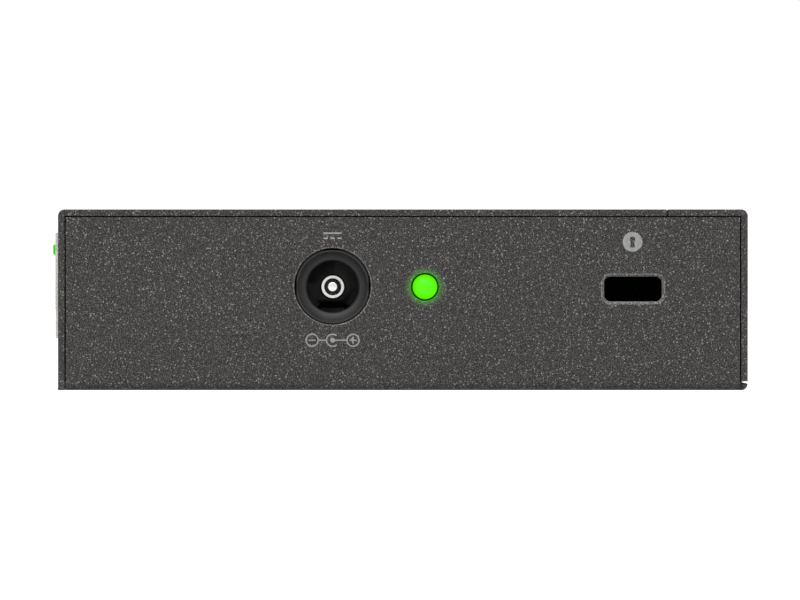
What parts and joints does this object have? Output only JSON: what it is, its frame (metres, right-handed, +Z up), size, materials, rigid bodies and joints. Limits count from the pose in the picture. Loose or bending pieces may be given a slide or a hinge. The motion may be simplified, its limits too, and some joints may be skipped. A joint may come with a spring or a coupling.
{
  "type": "desktop network switch",
  "caption": "Small desktop network switch: folded steel case, row of shielded ports with status lamps, power inlet, power lamp and lock slot.",
  "frame": {"origin": "under the middle of the case, level with its underside", "axes": "+Z up, the row of ports faces -Y, the side with the power inlet faces +X"},
  "size_m": [0.1003, 0.0848, 0.022],
  "materials": {
    "dark_coat": "fine textured dark grey powder coat",
    "zinc_plate": "zinc plated steel",
    "label_paper": "blank polyester label",
    "yellow_brass": "turned brass",
    "clear_film": "polyester film",
    "green_laminate": "green solder mask on laminate",
    "black_moulding": "moulded black plastic, fine spark texture",
    "nickel_shield": "nickel plated sheet",
    "green_lamp": "diffused green lamp, lit",
    "tinned_lead": "tinned copper",
    "gold_contact": "gold plated phosphor bronze",
    "chip_epoxy": "moulded epoxy",
    "thermal_silicone": "soft silicone pad",
    "bare_aluminium": "extruded, bare",
    "can_aluminium": "bright can with a dark stripe",
    "ferrite": "sintered ferrite",
    "tan_ceramic": "tan ceramic with tinned ends"
  },
  "bodies": {
    "case": {"chassis": "dark_coat", "top_cover": "dark_coat", "end_panel": "dark_coat", "clinch_nuts": "zinc_plate", "case_screws": "zinc_plate", "rating_label": "label_paper", "board_standoffs": "yellow_brass", "board_screws": "zinc_plate", "insulating_film": "clear_film", "circuit_board": "green_laminate", "port_housing": "black_moulding", "port_shield": "nickel_shield", "port_lamps": "green_lamp", "port_lamp_leads": "tinned_lead", "contact_tails": "gold_contact", "inlet_body": "black_moulding", "inlet_pin": "nickel_shield", "inlet_terminals": "tinned_lead", "power_lamp": "green_lamp", "power_lamp_holder": "black_moulding", "power_lamp_leads": "tinned_lead", "transformers": "chip_epoxy", "transformer_leads": "tinned_lead", "switch_chip": "chip_epoxy", "switch_chip_leads": "tinned_lead", "thermal_pad": "thermal_silicone", "heat_sink": "bare_aluminium", "crystal": "nickel_shield", "memory_chip": "chip_epoxy", "voltage_regulator": "chip_epoxy", "power_inductor": "ferrite", "electrolytic_capacitors": "can_aluminium", "chip_capacitors": "tan_ceramic", "chip_resistors": "chip_epoxy", "input_diode": "chip_epoxy"},
    "port_1_contact_set": {"port_1_contacts": "gold_contact"},
    "port_2_contact_set": {"port_2_contacts": "gold_contact"},
    "port_3_contact_set": {"port_3_contacts": "gold_contact"},
    "port_4_contact_set": {"port_4_contacts": "gold_contact"},
    "port_5_contact_set": {"port_5_contacts": "gold_contact"},
    "inlet_leaf": {"inlet_leaf_spring": "nickel_shield"}
  },
  "joints": [
    {"name": "port_1_contact_flex", "type": "hinge", "parent": "case", "child": "port_1_contact_set", "pos_m": [-0.02794, -0.0405, 0.0078], "axis": [-1, 0, 0], "range_deg": [0, 9], "stiffness_Nm_per_rad": 0.4},
    {"name": "port_2_contact_flex", "type": "hinge", "parent": "case", "child": "port_2_contact_set", "pos_m": [-0.01397, -0.0405, 0.0078], "axis": [-1, 0, 0], "range_deg": [0, 9], "stiffness_Nm_per_rad": 0.4},
    {"name": "port_3_contact_flex", "type": "hinge", "parent": "case", "child": "port_3_contact_set", "pos_m": [0, -0.0405, 0.0078], "axis": [-1, 0, 0], "range_deg": [0, 9], "stiffness_Nm_per_rad": 0.4},
    {"name": "port_4_contact_flex", "type": "hinge", "parent": "case", "child": "port_4_contact_set", "pos_m": [0.01397, -0.0405, 0.0078], "axis": [-1, 0, 0], "range_deg": [0, 9], "stiffness_Nm_per_rad": 0.4},
    {"name": "port_5_contact_flex", "type": "hinge", "parent": "case", "child": "port_5_contact_set", "pos_m": [0.02794, -0.0405, 0.0078], "axis": [-1, 0, 0], "range_deg": [0, 9], "stiffness_Nm_per_rad": 0.4},
    {"name": "inlet_leaf_flex", "type": "hinge", "parent": "case", "child": "inlet_leaf", "pos_m": [0.0383, -0.00856, 0.00788], "axis": [0, 1, 0], "range_deg": [0, 4], "stiffness_Nm_per_rad": 0.25}
  ]
}
